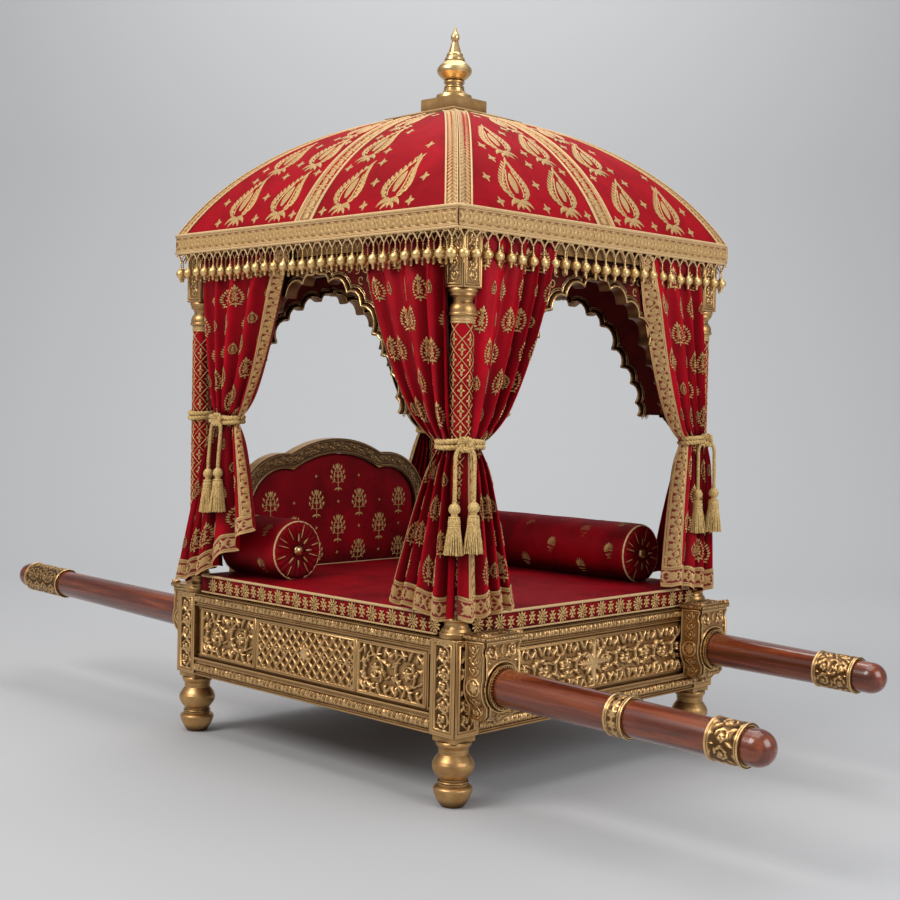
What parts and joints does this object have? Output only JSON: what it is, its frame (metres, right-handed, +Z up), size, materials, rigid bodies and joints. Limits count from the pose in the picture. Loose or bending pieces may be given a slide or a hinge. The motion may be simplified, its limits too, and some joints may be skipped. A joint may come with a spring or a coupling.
{
  "type": "palanquin",
  "caption": "Four-post carried wedding palanquin with square domed canopy, cusped arches, tied curtains, cushioned bed, carved box base and two fixed carrying poles.",
  "frame": {"origin": "on the floor, midway between the four legs", "axes": "+X along the poles to the front, away from the headboard; +Z up; -Y is the right-hand side"},
  "size_m": [2.72, 0.9902, 1.85],
  "materials": {
    "antique_brass": "aged, turned, softly polished on the high points",
    "carved_brass": "cast relief with dark recesses",
    "brass_fittings": "polished",
    "polished_wood": "dark red-brown, glossy",
    "plain_wood": "sawn, matt",
    "canopy_velvet": "short-pile velvet with raised gold motifs",
    "curtain_velvet": "satin-backed velvet with gold borders",
    "cushion_velvet": "velvet with gold piping",
    "embroidered_cloth": "cloth with a gold lattice",
    "gold_cord": "twisted metallic cord"
  },
  "bodies": {
    "root": {"leg_front_right": "antique_brass", "leg_front_left": "antique_brass", "leg_rear_right": "antique_brass", "leg_rear_left": "antique_brass", "corner_block_front_right": "carved_brass", "corner_block_front_left": "carved_brass", "corner_block_rear_right": "carved_brass", "corner_block_rear_left": "carved_brass", "post_front_right": "embroidered_cloth", "post_front_left": "embroidered_cloth", "post_rear_right": "embroidered_cloth", "post_rear_left": "embroidered_cloth", "capital_block_front_right": "carved_brass", "capital_block_front_left": "carved_brass", "capital_block_rear_right": "carved_brass", "capital_block_rear_left": "carved_brass", "pole_bracket_front_right": "carved_brass", "pole_bracket_front_left": "carved_brass", "pole_bracket_rear_right": "carved_brass", "pole_bracket_rear_left": "carved_brass", "curtains_front_right": "curtain_velvet", "curtains_front_left": "curtain_velvet", "curtains_rear_right": "curtain_velvet", "curtains_rear_left": "curtain_velvet", "bottom_rail_right": "carved_brass", "bottom_rail_left": "carved_brass", "bottom_rail_front": "carved_brass", "bottom_rail_rear": "carved_brass", "top_rail_right": "carved_brass", "top_rail_left": "carved_brass", "top_rail_front": "carved_brass", "top_rail_rear": "carved_brass", "carved_panel_right": "carved_brass", "carved_panel_left": "carved_brass", "carved_panel_front": "carved_brass", "carved_panel_rear": "carved_brass", "arch_right": "embroidered_cloth", "arch_left": "embroidered_cloth", "arch_front": "embroidered_cloth", "arch_rear": "embroidered_cloth", "pole_right": "polished_wood", "pole_left": "polished_wood", "bolster_right": "cushion_velvet", "bolster_left": "cushion_velvet", "deck_boards": "plain_wood", "deck_bearers": "plain_wood", "head_beams": "antique_brass", "pole_ferrules": "brass_fittings", "bracket_urns": "brass_fittings", "canopy_frame": "plain_wood", "canopy_cover": "canopy_velvet", "canopy_band": "carved_brass", "crown_plinth": "antique_brass", "finial": "brass_fittings", "mattress": "cushion_velvet", "headboard_frame": "carved_brass", "headboard_pad": "cushion_velvet", "tieback_ropes": "gold_cord", "tieback_tails": "gold_cord", "tassels": "gold_cord"}
  },
  "joints": []
}
